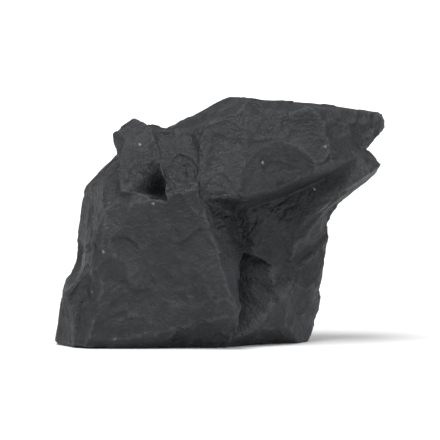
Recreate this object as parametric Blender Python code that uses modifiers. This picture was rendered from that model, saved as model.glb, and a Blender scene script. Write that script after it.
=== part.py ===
"""One broken chip of shungite, a dull black carbon rock, resting on a flat spot.

The chip is built as it broke. Blocks cleaved by flat fracture planes are joined into one body. Then
pockets, shell-shaped scars and flakes are taken off it. The lengths in the tables are millimetres as
read off the chip's front view. The finished stone is fitted to the driving dimensions and stands in
metres, +Z up, with its origin at the middle of its base. Its front faces -Y, and +X is to its right.
"""

import math

import bmesh
import bpy
import numpy as np

MM = 0.001

# Driving dimensions of the finished stone, in metres.
WIDTH = 35.5 * MM
DEPTH = 20.0 * MM
HEIGHT = 26.5 * MM

# The stone's colour and finish.
STONE_COLOUR = (0.036, 0.037, 0.040, 1.0)
STONE_ROUGHNESS = 0.62

# A point deep inside the rock, which every block contains.
HEART = np.array([-2.0, 0.0, 12.0])

# The cube that each block is cleaved from, and how finely a scar's ball is divided.
ROUGH_CUBE = 70.0
BALL_FINENESS = 4

# Mesh fineness: the grain that the joined blocks are remeshed at, and the finished triangle count.
REMESH_GRAIN = 0.30
TRIANGLES = 8400

# Each block is a list of fracture planes, as a point on the plane and its outward direction.
BLOCKS = {
    "broad_left": [
        ((-8.0, -9.3, 9.0), (-0.10, -0.99, 0.04)),
        ((-15.0, -6.4, 6.0), (-0.76, -0.64, 0.10)),
        ((-14.6, -2.0, 12.5), (-0.95, -0.28, 0.16)),
        ((-14.7, 1.0, 12.5), (-0.85, 0.50, 0.15)),
        ((-12.2, 0.0, 19.1), (-0.68, -0.15, 0.72)),
        ((-6.0, -7.0, 19.5), (-0.22, -0.78, 0.58)),
        ((-5.0, 0.0, 23.2), (-0.05, 0.05, 1.00)),
        ((-2.3, -9.9, 16.0), (0.85, -0.45, 0.29)),
        ((-8.0, -9.0, 1.6), (0.05, -0.72, -0.69)),
        ((-8.0, 7.0, 13.0), (-0.30, 0.92, 0.25)),
        ((-6.0, 7.0, 4.0), (-0.10, 0.90, -0.42)),
        ((2.0, 7.6, 12.0), (0.45, 0.89, 0.0)),
        ((0.0, 0.0, -2.0), (0.0, 0.0, -1.0)),
    ],
    "recessed_core": [
        ((3.4, -4.9, 11.0), (-0.30, -0.95, 0.10)),
        ((3.4, -4.9, 11.0), (0.25, -0.95, 0.20)),
        ((8.0, -1.0, 7.0), (0.80, -0.45, -0.36)),
        ((8.0, 2.0, 7.0), (0.83, 0.42, -0.36)),
        ((0.0, 2.0, 23.4), (0.05, 0.25, 0.97)),
        ((2.0, 8.2, 13.0), (0.12, 0.985, 0.10)),
        ((8.0, 6.4, 14.0), (0.62, 0.78, 0.05)),
        ((2.0, 7.4, 4.0), (0.05, 0.85, -0.50)),
        ((-10.6, 0.0, 20.3), (-0.80, 0.0, 0.60)),
        ((-12.8, 0.0, 8.0), (-1.0, 0.05, 0.0)),
        ((0.0, 0.0, -2.0), (0.0, 0.0, -1.0)),
    ],
    "top_slab": [
        ((8.0, 0.0, 26.1), (0.10, 0.02, 0.995)),
        ((-1.8, 0.0, 24.7), (-0.49, -0.12, 0.86)),
        ((6.0, -8.2, 19.0), (0.02, -0.95, 0.31)),
        ((1.5, -9.0, 16.4), (0.10, -0.45, -0.89)),
        ((10.4, -7.0, 19.1), (0.37, -0.30, -0.88)),
        ((16.4, 0.0, 22.6), (0.74, -0.05, -0.67)),
        ((17.5, 0.0, 24.5), (0.86, 0.0, 0.50)),
        ((15.0, -5.2, 23.0), (0.55, -0.83, 0.05)),
        ((5.0, 7.0, 22.0), (0.10, 0.93, 0.35)),
        ((5.0, 8.2, 16.5), (-0.10, 0.62, -0.78)),
        ((14.0, 3.8, 23.0), (0.55, 0.83, 0.10)),
        ((-2.2, -8.6, 18.0), (-0.85, -0.50, 0.15)),
        ((-8.0, 0.0, 10.0), (-0.95, 0.0, -0.3)),
    ],
    "top_finger": [
        ((-11.0, 0.0, 22.0), (-0.96, 0.10, -0.20)),
        ((-10.3, 0.0, 23.9), (-0.60, 0.0, 0.80)),
        ((-8.1, 0.0, 23.9), (0.55, 0.05, 0.83)),
        ((-6.6, -2.0, 23.0), (0.90, -0.18, 0.39)),
        ((-9.0, -7.8, 18.5), (-0.12, -0.81, 0.57)),
        ((-8.0, -9.0, 17.2), (0.0, -0.52, -0.85)),
        ((-9.0, 2.2, 22.5), (-0.10, 0.93, 0.35)),
        ((-6.0, -1.0, 8.0), (0.0, 0.0, -1.0)),
    ],
    "right_nub": [
        ((16.2, -1.0, 20.3), (0.77, 0.0, 0.64)),
        ((13.9, -1.0, 16.8), (0.62, -0.15, -0.77)),
        ((14.0, -4.9, 18.0), (-0.27, -0.96, 0.05)),
        ((14.0, 3.6, 18.0), (-0.20, 0.98, 0.05)),
        ((10.0, 0.0, 21.0), (0.0, 0.0, 1.0)),
        ((-6.0, 0.0, 12.0), (-1.0, 0.0, 0.0)),
    ],
    "left_foot": [
        ((-17.3, 0.0, 3.0), (-0.98, 0.0, 0.18)),
        ((-15.7, 0.0, 7.45), (-0.70, -0.10, 0.70)),
        ((-14.5, -6.6, 3.0), (0.12, -0.98, 0.15)),
        ((-14.0, 6.3, 3.0), (0.10, 0.97, 0.20)),
        ((2.0, 0.0, 0.0), (1.0, 0.0, 0.20)),
        ((0.0, 0.0, -2.0), (0.0, 0.0, -1.0)),
    ],
    "lower_step": [
        ((4.0, -7.0, 5.0), (0.20, -0.97, 0.10)),
        ((3.0, -6.3, 5.0), (0.05, -0.76, 0.645)),
        ((7.2, -4.0, 4.0), (0.85, -0.45, -0.20)),
        ((4.0, -6.6, 1.4), (0.10, -0.72, -0.69)),
        ((-8.0, 0.0, 10.0), (-1.0, 0.0, 0.0)),
        ((0.0, 4.0, 5.0), (0.15, 0.97, -0.15)),
        ((0.0, 0.0, -2.0), (0.0, 0.0, -1.0)),
    ],
    "back_plate": [
        ((-14.0, 8.5, 18.0), (0.36, -0.11, 0.93)),
        ((-3.0, 9.5, 7.0), (-0.06, 0.99, -0.05)),
        ((-13.0, 7.8, 6.0), (-0.76, -0.60, 0.20)),
        ((6.5, 8.4, 4.0), (0.82, -0.50, 0.20)),
        ((-4.0, 9.0, 2.0), (0.0, 0.60, -0.80)),
        ((-2.0, -1.0, 12.0), (0.0, -1.0, 0.0)),
    ],
}

# Pockets are blocks that fell out, listed as the planes of the lost block.
POCKETS = {
    "dark_pocket": [
        ((-7.5, -6.95, 20.0), (-0.30, 0.88, 0.37)),
        ((-6.1, -8.0, 17.6), (0.95, 0.05, 0.20)),
        ((-9.2, -8.0, 18.2), (-0.66, 0.74, 0.12)),
        ((-7.6, -9.2, 16.4), (-0.26, 0.10, -0.96)),
        ((-8.0, -16.0, 17.0), (0.0, -1.0, 0.0)),
    ],
    "hollow_pocket": [
        ((1.2, -5.0, 7.0), (-0.97, -0.20, 0.10)),
        ((3.4, -5.0, 9.2), (0.32, -0.25, 0.91)),
        ((6.2, -5.0, 7.0), (0.93, -0.30, -0.22)),
        ((5.9, -5.8, 4.7), (0.24, 0.92, -0.25)),
        ((3.6, -14.0, 7.0), (0.0, -1.0, 0.0)),
        ((3.0, -5.0, 4.2), (-0.30, -0.25, -0.92)),
    ],
    "neck_notch": [
        ((-11.0, 0.0, 22.0), (0.90, -0.10, 0.42)),
        ((-12.2, 0.0, 19.1), (0.68, 0.15, -0.72)),
        ((-20.0, 0.0, 20.0), (-1.0, 0.0, 0.0)),
        ((-12.0, -20.0, 20.0), (0.0, -1.0, 0.0)),
        ((-12.0, 20.0, 20.0), (0.0, 1.0, 0.0)),
    ],
}

# Scars that stand out in the front view or shape the back, as a ball's centre and radius. Rock inside
# the ball is broken away, which leaves the shell-shaped hollow of a conchoidal fracture.
SCARS = {
    "left_bite": ((-17.6, -1.5, 9.9), 3.0),
    "broad_face_shell": ((-10.5, -42.0, 5.0), 33.3),
    "saddle": ((-5.0, -1.0, 29.6), 6.4),
    "slab_shell": ((12.5, -34.0, 27.0), 27.6),
    "slab_top_shell": ((8.0, 3.0, 48.0), 22.4),
    "back_shell": ((-5.0, 40.0, 19.0), 32.4),
    "back_low_shell": ((6.0, 28.0, 2.0), 20.0),
    "right_shell": ((25.0, 6.0, 8.0), 15.4),
    "left_back_shell": ((-33.0, 18.0, 14.0), 20.5),
    "under_back_shell": ((-3.0, 14.0, -16.0), 20.0),
    "under_front_shell": ((11.0, -12.0, -12.0), 16.8),
}

# Flakes lost along the sharp edges: how many, how far apart, their radii, and how deep they bite.
FLAKES = 40
FLAKE_SPACING = (3.0, 7.0)
FLAKE_RADII = (5.0, 16.0)
FLAKE_DEPTHS = (0.20, 0.80)
FLAKE_SEED = 97

# Places tried for a flake, how far round each one the rock is felt to find how it stands out, and
# how far chance may lower a place's turn.
FLAKE_TRIALS = 1600
FEELING_ANGLE = math.radians(8.0)
FEELING_COUNT = 6
TURN_CHANCE = (0.4, 1.0)

# Any direction that no place's direction is parallel to, which gives each place its sideways.
SLANT = (0.31, 0.52, 0.80)

# Slow swells that keep the broken faces from being quite flat: height, wavelength, and how many.
SWELL_HEIGHT = 0.22
SWELL_WAVELENGTHS = (7.0, 15.0)
SWELLS = 14
SWELL_SEED = 11

# The height at which the lowest rock is broken off flat, which is the spot that the stone rests on.
REST_HEIGHT = 0.0


def clear_scene():
    """Removes every object, so that the script can run in any file."""
    for obj in list(bpy.data.objects):
        bpy.data.objects.remove(obj)


def new_collection(name):
    collection = bpy.data.collections.new(name)
    bpy.context.scene.collection.children.link(collection)
    return collection


def break_off(bm, point, outward):
    """Takes away all that lies beyond a plane, and closes the break with a flat face."""
    cut = bmesh.ops.bisect_plane(
        bm,
        geom=bm.verts[:] + bm.edges[:] + bm.faces[:],
        plane_co=point,
        plane_no=outward,
        clear_outer=True,
    )
    rim = [part for part in cut["geom_cut"] if isinstance(part, bmesh.types.BMEdge)]
    bmesh.ops.edgeloop_fill(bm, edges=rim)


def new_object(name, bm, collection):
    mesh = bpy.data.meshes.new(name)
    bm.to_mesh(mesh)
    bm.free()
    obj = bpy.data.objects.new(name, mesh)
    collection.objects.link(obj)
    return obj


def cleaved_block(name, planes, collection):
    """A block of rock: a cube broken off at each fracture plane."""
    bm = bmesh.new()
    bmesh.ops.create_cube(bm, size=ROUGH_CUBE)
    for point, outward in planes:
        break_off(bm, point, outward)
    bmesh.ops.recalc_face_normals(bm, faces=bm.faces)
    return new_object(name, bm, collection)


def apply_modifiers(obj):
    """Gives the object the mesh that its modifiers make, and clears them."""
    graph = bpy.context.evaluated_depsgraph_get()
    mesh = bpy.data.meshes.new_from_object(obj.evaluated_get(graph))
    obj.modifiers.clear()
    obj.data = mesh


def rough_ball(name, centre, radius, collection):
    """The ball that a scar is broken out with."""
    bm = bmesh.new()
    bmesh.ops.create_icosphere(bm, subdivisions=BALL_FINENESS, radius=radius)
    ball = new_object(name, bm, collection)
    ball.location = centre
    return ball


def combine(body, others, operation):
    """Adds Booleans to the body that join the others to it, or take them away."""
    for other in others:
        boolean = body.modifiers.new(other.name, "BOOLEAN")
        boolean.operation = operation
        boolean.solver = "EXACT"
        boolean.object = other
        other.hide_render = True
        other.display_type = "WIRE"


def even_grain(body):
    """Remeshes the body to small even faces, which the swells can bend."""
    remesh = body.modifiers.new("grain", "REMESH")
    remesh.mode = "VOXEL"
    remesh.voxel_size = REMESH_GRAIN


def reshape(body, shaping):
    """Moves the body's points to where the shaping function puts them."""
    points = np.empty(len(body.data.vertices) * 3)
    body.data.vertices.foreach_get("co", points)
    moved = shaping(points.reshape(-1, 3))
    body.data.vertices.foreach_set("co", moved.ravel())
    body.data.update()


def reach(directions):
    """How far the joined blocks reach from the heart in each direction."""
    reaches = []
    for planes in BLOCKS.values():
        points, outward = np.array(planes).transpose(1, 0, 2)
        ahead = np.sum((points - HEART) * outward, axis=1)
        facing = directions @ outward.T
        ways_out = np.divide(ahead, facing, out=np.full_like(facing, np.inf), where=facing > 0.0)
        reaches.append(ways_out.min(axis=1))
    return np.max(reaches, axis=0)


def surface_point(directions):
    return HEART + directions * reach(directions)[:, None]


def spiral_of_directions(count):
    """Directions spread evenly over the whole sphere, on a golden spiral."""
    step = np.arange(count)
    height = 1.0 - 2.0 * (step + 0.5) / count
    level = np.sqrt(1.0 - height**2)
    turn = step * math.pi * (3.0 - math.sqrt(5.0))
    return np.column_stack((level * np.cos(turn), level * np.sin(turn), height))


def unit(vectors):
    return vectors / np.linalg.norm(vectors, axis=-1, keepdims=True)


def edge_flakes():
    """The balls of the flakes, set where the rock stands out most from what is round it."""
    directions = spiral_of_directions(FLAKE_TRIALS)
    across = unit(np.cross(directions, SLANT))
    along = np.cross(directions, across)
    places = surface_point(directions)
    around = np.zeros_like(places)
    for turn in np.arange(FEELING_COUNT) * (2.0 * math.pi / FEELING_COUNT):
        sideways = math.cos(turn) * across + math.sin(turn) * along
        around += surface_point(unit(directions + math.tan(FEELING_ANGLE) * sideways))
    standing_out = places - around / FEELING_COUNT
    sharpness = np.sum(standing_out * directions, axis=1)
    chance = np.random.default_rng(FLAKE_SEED)
    balls = []
    taken = np.empty((0, 3))
    for index in np.argsort(-sharpness * chance.uniform(*TURN_CHANCE, FLAKE_TRIALS)):
        if len(balls) == FLAKES:
            break
        apart = np.linalg.norm(taken - places[index], axis=1)
        if np.any(apart < chance.uniform(*FLAKE_SPACING)):
            continue
        taken = np.vstack((taken, places[index]))
        radius = chance.uniform(*FLAKE_RADII)
        depth = chance.uniform(*FLAKE_DEPTHS)
        balls.append((places[index] + unit(standing_out[index]) * (radius - depth), radius))
    return balls


def swollen(points):
    """The points moved out and in from the heart by slow swells, each a sine wave in one direction."""
    chance = np.random.default_rng(SWELL_SEED)
    away = unit(points - HEART)
    swell = np.zeros(len(points))
    for heading in spiral_of_directions(SWELLS):
        wavelength = chance.uniform(*SWELL_WAVELENGTHS)
        start = chance.uniform(0.0, 2.0 * math.pi)
        swell += np.sin(2.0 * math.pi * (points @ heading) / wavelength + start)
    return points + away * (swell * SWELL_HEIGHT / math.sqrt(SWELLS))[:, None]


def thin_out(body):
    """Merges triangles where the rock is flat, and fewer at its edges, down to the wanted count."""
    body.data.calc_loop_triangles()
    thin = body.modifiers.new("thin", "DECIMATE")
    thin.ratio = TRIANGLES / len(body.data.loop_triangles)


def break_flat_below(body):
    """Breaks the stone off flat at its resting height."""
    bm = bmesh.new()
    bm.from_mesh(body.data)
    break_off(bm, (0.0, 0.0, REST_HEIGHT), (0.0, 0.0, -1.0))
    bmesh.ops.triangulate(bm, faces=bm.faces)
    bmesh.ops.recalc_face_normals(bm, faces=bm.faces)
    bm.to_mesh(body.data)
    bm.free()


def fitted(points):
    """The points scaled to the driving dimensions, with the origin at the middle of the base."""
    low, high = points.min(axis=0), points.max(axis=0)
    middle = np.array([(low[0] + high[0]) / 2, (low[1] + high[1]) / 2, low[2]])
    return (points - middle) * np.array([WIDTH, DEPTH, HEIGHT]) / (high - low)


def stone_material():
    material = bpy.data.materials.new("shungite")
    material.use_nodes = True
    surface = material.node_tree.nodes["Principled BSDF"]
    surface.inputs["Base Color"].default_value = STONE_COLOUR
    surface.inputs["Roughness"].default_value = STONE_ROUGHNESS
    surface.inputs["Metallic"].default_value = 0.0
    return material


def build():
    clear_scene()
    cutters = new_collection("blocks_and_scars")
    stone_collection = new_collection("shungite_rock")
    blocks = [cleaved_block(name, planes, cutters) for name, planes in BLOCKS.items()]
    pockets = [cleaved_block(name, planes, cutters) for name, planes in POCKETS.items()]
    scars = [rough_ball(name, *ball, cutters) for name, ball in SCARS.items()]
    flakes = [rough_ball("flake", *ball, cutters) for ball in edge_flakes()]

    body = blocks[0]
    combine(body, blocks[1:], "UNION")
    combine(body, pockets + scars + flakes, "DIFFERENCE")
    even_grain(body)
    apply_modifiers(body)
    reshape(body, swollen)
    thin_out(body)
    apply_modifiers(body)
    break_flat_below(body)
    reshape(body, fitted)

    body.data.materials.append(stone_material())
    cutters.objects.unlink(body)
    stone_collection.objects.link(body)
    body.name = "shungite_stone"


build()
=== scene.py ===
"""Looks of one broken chip of shungite, a dull black carbon rock, on a pale studio floor.

The chip's surface is worked out as it broke. Blocks cleaved by flat fracture planes are joined, and
pockets, shell-shaped scars and flakes are taken off them. The outcome is one distance from the rock's
heart for every direction. Small breaks, steps, ripples, cracks and grain are then cut into that
surface. The rock's sizes and its finish's sizes are millimetres, and the studio's are metres. The
finished piece stands in the frame's metres, with its front facing -Y.
"""

import logging
import math
from dataclasses import dataclass, field
from enum import Enum

import bpy
import numpy as np
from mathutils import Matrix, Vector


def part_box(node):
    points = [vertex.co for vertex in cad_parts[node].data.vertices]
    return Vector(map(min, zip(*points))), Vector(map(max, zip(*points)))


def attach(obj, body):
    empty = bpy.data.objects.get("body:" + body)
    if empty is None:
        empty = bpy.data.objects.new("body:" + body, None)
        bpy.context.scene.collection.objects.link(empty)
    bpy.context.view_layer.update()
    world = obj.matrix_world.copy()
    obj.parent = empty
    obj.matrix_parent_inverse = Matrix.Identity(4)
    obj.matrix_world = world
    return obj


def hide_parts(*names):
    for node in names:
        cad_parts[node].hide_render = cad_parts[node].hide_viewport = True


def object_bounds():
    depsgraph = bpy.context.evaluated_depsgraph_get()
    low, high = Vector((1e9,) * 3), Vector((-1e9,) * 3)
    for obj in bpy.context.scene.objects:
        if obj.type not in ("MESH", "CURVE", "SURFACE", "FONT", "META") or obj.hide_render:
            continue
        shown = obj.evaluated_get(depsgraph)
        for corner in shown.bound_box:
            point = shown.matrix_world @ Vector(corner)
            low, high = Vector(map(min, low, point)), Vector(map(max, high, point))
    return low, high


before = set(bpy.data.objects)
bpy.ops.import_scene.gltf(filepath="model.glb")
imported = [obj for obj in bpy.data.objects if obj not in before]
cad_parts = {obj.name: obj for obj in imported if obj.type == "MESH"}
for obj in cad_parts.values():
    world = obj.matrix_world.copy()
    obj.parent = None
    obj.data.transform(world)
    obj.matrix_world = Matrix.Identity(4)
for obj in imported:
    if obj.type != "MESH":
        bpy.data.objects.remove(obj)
FRAME_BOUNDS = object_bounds()

log = logging.getLogger("shungite_chip")

MM = 0.001

Vec = tuple[float, float, float]
Span = tuple[float, float]
Plane = tuple[Vec, Vec]
Ball = tuple[Vec, float]

# A point deep inside the rock, which every block contains.
HEART = np.array([-2.0, 0.0, 12.0])

# Any direction that no place's direction is parallel to, which gives each place its sideways.
SLANT = (0.31, 0.52, 0.80)

# Each block is a list of fracture planes, as a point on the plane and its outward direction.
BLOCKS: dict[str, list[Plane]] = {
    "broad_left": [
        ((-8.0, -9.3, 9.0), (-0.10, -0.99, 0.04)),
        ((-15.0, -6.4, 6.0), (-0.76, -0.64, 0.10)),
        ((-14.6, -2.0, 12.5), (-0.95, -0.28, 0.16)),
        ((-14.7, 1.0, 12.5), (-0.85, 0.50, 0.15)),
        ((-12.2, 0.0, 19.1), (-0.68, -0.15, 0.72)),
        ((-6.0, -7.0, 19.5), (-0.22, -0.78, 0.58)),
        ((-5.0, 0.0, 23.2), (-0.05, 0.05, 1.00)),
        ((-2.3, -9.9, 16.0), (0.85, -0.45, 0.29)),
        ((-8.0, -9.0, 1.6), (0.05, -0.72, -0.69)),
        ((-8.0, 7.0, 13.0), (-0.30, 0.92, 0.25)),
        ((-6.0, 7.0, 4.0), (-0.10, 0.90, -0.42)),
        ((2.0, 7.6, 12.0), (0.45, 0.89, 0.0)),
        ((0.0, 0.0, -2.0), (0.0, 0.0, -1.0)),
    ],
    "recessed_core": [
        ((3.4, -4.9, 11.0), (-0.30, -0.95, 0.10)),
        ((3.4, -4.9, 11.0), (0.25, -0.95, 0.20)),
        ((8.0, -1.0, 7.0), (0.80, -0.45, -0.36)),
        ((8.0, 2.0, 7.0), (0.83, 0.42, -0.36)),
        ((0.0, 2.0, 23.4), (0.05, 0.25, 0.97)),
        ((2.0, 8.2, 13.0), (0.12, 0.985, 0.10)),
        ((8.0, 6.4, 14.0), (0.62, 0.78, 0.05)),
        ((2.0, 7.4, 4.0), (0.05, 0.85, -0.50)),
        ((-10.6, 0.0, 20.3), (-0.80, 0.0, 0.60)),
        ((-12.8, 0.0, 8.0), (-1.0, 0.05, 0.0)),
        ((0.0, 0.0, -2.0), (0.0, 0.0, -1.0)),
    ],
    "top_slab": [
        ((8.0, 0.0, 26.1), (0.10, 0.02, 0.995)),
        ((-1.8, 0.0, 24.7), (-0.49, -0.12, 0.86)),
        ((6.0, -8.2, 19.0), (0.02, -0.95, 0.31)),
        ((1.5, -9.0, 16.4), (0.10, -0.45, -0.89)),
        ((10.4, -7.0, 19.1), (0.37, -0.30, -0.88)),
        ((16.4, 0.0, 22.6), (0.74, -0.05, -0.67)),
        ((17.5, 0.0, 24.5), (0.86, 0.0, 0.50)),
        ((15.0, -5.2, 23.0), (0.55, -0.83, 0.05)),
        ((5.0, 7.0, 22.0), (0.10, 0.93, 0.35)),
        ((5.0, 8.2, 16.5), (-0.10, 0.62, -0.78)),
        ((14.0, 3.8, 23.0), (0.55, 0.83, 0.10)),
        ((-2.2, -8.6, 18.0), (-0.85, -0.50, 0.15)),
        ((-8.0, 0.0, 10.0), (-0.95, 0.0, -0.3)),
    ],
    "top_finger": [
        ((-11.0, 0.0, 22.0), (-0.96, 0.10, -0.20)),
        ((-10.3, 0.0, 23.9), (-0.60, 0.0, 0.80)),
        ((-8.1, 0.0, 23.9), (0.55, 0.05, 0.83)),
        ((-6.6, -2.0, 23.0), (0.90, -0.18, 0.39)),
        ((-9.0, -7.8, 18.5), (-0.12, -0.81, 0.57)),
        ((-8.0, -9.0, 17.2), (0.0, -0.52, -0.85)),
        ((-9.0, 2.2, 22.5), (-0.10, 0.93, 0.35)),
        ((-6.0, -1.0, 8.0), (0.0, 0.0, -1.0)),
    ],
    "right_nub": [
        ((16.2, -1.0, 20.3), (0.77, 0.0, 0.64)),
        ((13.9, -1.0, 16.8), (0.62, -0.15, -0.77)),
        ((14.0, -4.9, 18.0), (-0.27, -0.96, 0.05)),
        ((14.0, 3.6, 18.0), (-0.20, 0.98, 0.05)),
        ((10.0, 0.0, 21.0), (0.0, 0.0, 1.0)),
        ((-6.0, 0.0, 12.0), (-1.0, 0.0, 0.0)),
    ],
    "left_foot": [
        ((-17.3, 0.0, 3.0), (-0.98, 0.0, 0.18)),
        ((-15.7, 0.0, 7.45), (-0.70, -0.10, 0.70)),
        ((-14.5, -6.6, 3.0), (0.12, -0.98, 0.15)),
        ((-14.0, 6.3, 3.0), (0.10, 0.97, 0.20)),
        ((2.0, 0.0, 0.0), (1.0, 0.0, 0.20)),
        ((0.0, 0.0, -2.0), (0.0, 0.0, -1.0)),
    ],
    "lower_step": [
        ((4.0, -7.0, 5.0), (0.20, -0.97, 0.10)),
        ((3.0, -6.3, 5.0), (0.05, -0.76, 0.645)),
        ((7.2, -4.0, 4.0), (0.85, -0.45, -0.20)),
        ((4.0, -6.6, 1.4), (0.10, -0.72, -0.69)),
        ((-8.0, 0.0, 10.0), (-1.0, 0.0, 0.0)),
        ((0.0, 4.0, 5.0), (0.15, 0.97, -0.15)),
        ((0.0, 0.0, -2.0), (0.0, 0.0, -1.0)),
    ],
    "back_plate": [
        ((-14.0, 8.5, 18.0), (0.36, -0.11, 0.93)),
        ((-3.0, 9.5, 7.0), (-0.06, 0.99, -0.05)),
        ((-13.0, 7.8, 6.0), (-0.76, -0.60, 0.20)),
        ((6.5, 8.4, 4.0), (0.82, -0.50, 0.20)),
        ((-4.0, 9.0, 2.0), (0.0, 0.60, -0.80)),
        ((-2.0, -1.0, 12.0), (0.0, -1.0, 0.0)),
    ],
}

# Pockets are blocks that fell out, listed as the planes of the lost block.
POCKETS: dict[str, list[Plane]] = {
    "dark_pocket": [
        ((-7.5, -6.95, 20.0), (-0.30, 0.88, 0.37)),
        ((-6.1, -8.0, 17.6), (0.95, 0.05, 0.20)),
        ((-9.2, -8.0, 18.2), (-0.66, 0.74, 0.12)),
        ((-7.6, -9.2, 16.4), (-0.26, 0.10, -0.96)),
        ((-8.0, -16.0, 17.0), (0.0, -1.0, 0.0)),
    ],
    "hollow_pocket": [
        ((1.2, -5.0, 7.0), (-0.97, -0.20, 0.10)),
        ((3.4, -5.0, 9.2), (0.32, -0.25, 0.91)),
        ((6.2, -5.0, 7.0), (0.93, -0.30, -0.22)),
        ((5.9, -5.8, 4.7), (0.24, 0.92, -0.25)),
        ((3.6, -14.0, 7.0), (0.0, -1.0, 0.0)),
        ((3.0, -5.0, 4.2), (-0.30, -0.25, -0.92)),
    ],
    "neck_notch": [
        ((-11.0, 0.0, 22.0), (0.90, -0.10, 0.42)),
        ((-12.2, 0.0, 19.1), (0.68, 0.15, -0.72)),
        ((-20.0, 0.0, 20.0), (-1.0, 0.0, 0.0)),
        ((-12.0, -20.0, 20.0), (0.0, -1.0, 0.0)),
        ((-12.0, 20.0, 20.0), (0.0, 1.0, 0.0)),
    ],
}

# Large scars, as a ball's centre and radius. Rock inside the ball is broken away, which leaves the
# shell-shaped hollow of a conchoidal fracture.
SCARS: dict[str, Ball] = {
    "left_bite": ((-17.6, -1.5, 9.9), 3.0),
    "broad_face_shell": ((-10.5, -42.0, 5.0), 33.3),
    "saddle": ((-5.0, -1.0, 29.6), 6.4),
    "slab_shell": ((12.5, -34.0, 27.0), 27.6),
    "slab_top_shell": ((8.0, 3.0, 48.0), 22.4),
    "back_shell": ((-5.0, 40.0, 19.0), 32.4),
    "back_low_shell": ((6.0, 28.0, 2.0), 20.0),
    "right_shell": ((25.0, 6.0, 8.0), 15.4),
    "left_back_shell": ((-33.0, 18.0, 14.0), 20.5),
    "under_back_shell": ((-3.0, 14.0, -16.0), 20.0),
    "under_front_shell": ((11.0, -12.0, -12.0), 16.8),
}

# The six faces of the cube that directions are laid out on: outward, across and up.
CUBE_FACES: tuple[tuple[tuple[int, int, int], ...], ...] = (
    ((0, -1, 0), (1, 0, 0), (0, 0, 1)),
    ((0, 1, 0), (-1, 0, 0), (0, 0, 1)),
    ((1, 0, 0), (0, 1, 0), (0, 0, 1)),
    ((-1, 0, 0), (0, -1, 0), (0, 0, 1)),
    ((0, 0, 1), (1, 0, 0), (0, 1, 0)),
    ((0, 0, -1), (1, 0, 0), (0, -1, 0)),
)


def unit(vectors: np.ndarray) -> np.ndarray:
    """Scales each row of vectors to length one."""
    return vectors / np.linalg.norm(vectors, axis=-1, keepdims=True)


def along(vectors: np.ndarray, others: np.ndarray) -> np.ndarray:
    """Dot product of each row with its row in the other array."""
    return np.einsum("ij,ij->i", vectors, others)


def smooth_step(values: np.ndarray, low: float, high: float) -> np.ndarray:
    """Rises from 0 at low to 1 at high: 3t^2 - 2t^3, where t is the way from low to high.

    Args:
        values: Numbers to turn into a share.
        low: Value that gives 0.
        high: Value that gives 1.

    Returns:
        Shares from 0 to 1.
    """
    part = np.clip((values - low) / (high - low), 0.0, 1.0)
    return part * part * (3.0 - 2.0 * part)


def added_up(places: np.ndarray, values: np.ndarray, count: int) -> np.ndarray:
    """Adds up rows of values at the places that they belong to.

    Args:
        places: For each row, the place that it is added at.
        values: Rows of numbers.
        count: How many places there are.

    Returns:
        One row of sums for each place.
    """
    return np.column_stack([np.bincount(places, column, count) for column in values.T])


def spiral_of_directions(count: int) -> np.ndarray:
    """Directions spread evenly over the whole sphere, on a golden spiral.

    Heights fall evenly from +1 to -1, and each direction turns by the golden angle from the last.

    Args:
        count: How many directions to give.

    Returns:
        Unit vectors, one in each row.
    """
    step = np.arange(count)
    height = 1.0 - 2.0 * (step + 0.5) / count
    level = np.sqrt(1.0 - height**2)
    turn = step * math.pi * (3.0 - math.sqrt(5.0))
    return np.column_stack((level * np.cos(turn), level * np.sin(turn), height))


def lattice_noise(points: np.ndarray, size: float, seed: int) -> np.ndarray:
    """Smooth random values in space: random numbers on a cubic lattice, blended between its corners.

    Args:
        points: Places to read, in millimetres.
        size: Spacing of the lattice, in millimetres.
        seed: Which random lattice to use.

    Returns:
        Values from -1 to 1.
    """
    repeat = 64
    numbers = np.random.default_rng(seed).uniform(-1.0, 1.0, (repeat, repeat, repeat))
    scaled = points / size
    cell = np.floor(scaled).astype(int)
    part = smooth_step(scaled - cell, 0.0, 1.0)
    total = np.zeros(len(points))
    for corner in np.ndindex(2, 2, 2):
        weight = np.prod(np.where(corner, part, 1.0 - part), axis=1)
        total += weight * numbers[tuple(((cell + corner) % repeat).T)]
    return total


def layered_noise(points: np.ndarray, size: float, layers: int, seed: int) -> np.ndarray:
    """Lattice noise in layers, each with half the spacing and half the height of the last.

    Args:
        points: Places to read, in millimetres.
        size: Spacing of the coarsest layer, in millimetres.
        layers: How many layers to add up.
        seed: Which random lattices to use.

    Returns:
        Values from about -1 to 1.
    """
    shares = [0.5**layer for layer in range(layers)]
    values = [lattice_noise(points, size * share, seed + turn) for turn, share in enumerate(shares)]
    return np.tensordot(shares, values, axes=1) / sum(shares)


def tilted_plates(points: np.ndarray, size: float, seed: int) -> np.ndarray:
    """Heights of small flat plates, each tilted its own way, with a step where two plates meet.

    Space is shared out among the points of a jittered cubic lattice, each place to the nearest one. The
    height is the place's offset from that lattice point, times the lattice point's random slope.

    Args:
        points: Places to read, in millimetres.
        size: Usual width of a plate, in millimetres.
        seed: Which random plates to use.

    Returns:
        Heights from about -1 to 1.
    """
    repeat = 32
    chance = np.random.default_rng(seed)
    jitter = chance.uniform(0.0, 1.0, (repeat, repeat, repeat, 3))
    slopes = chance.normal(0.0, 1.0, (repeat, repeat, repeat, 3))
    scaled = points / size
    cell = np.floor(scaled).astype(int)
    nearest = np.full(len(points), np.inf)
    height = np.zeros(len(points))
    for neighbour in np.ndindex(3, 3, 3):
        other = cell + neighbour - 1
        label = tuple((other % repeat).T)
        offset = scaled - other - jitter[label]
        distance = along(offset, offset)
        closer = distance < nearest
        nearest = np.where(closer, distance, nearest)
        height = np.where(closer, along(offset, slopes[label]), height)
    return height


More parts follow.
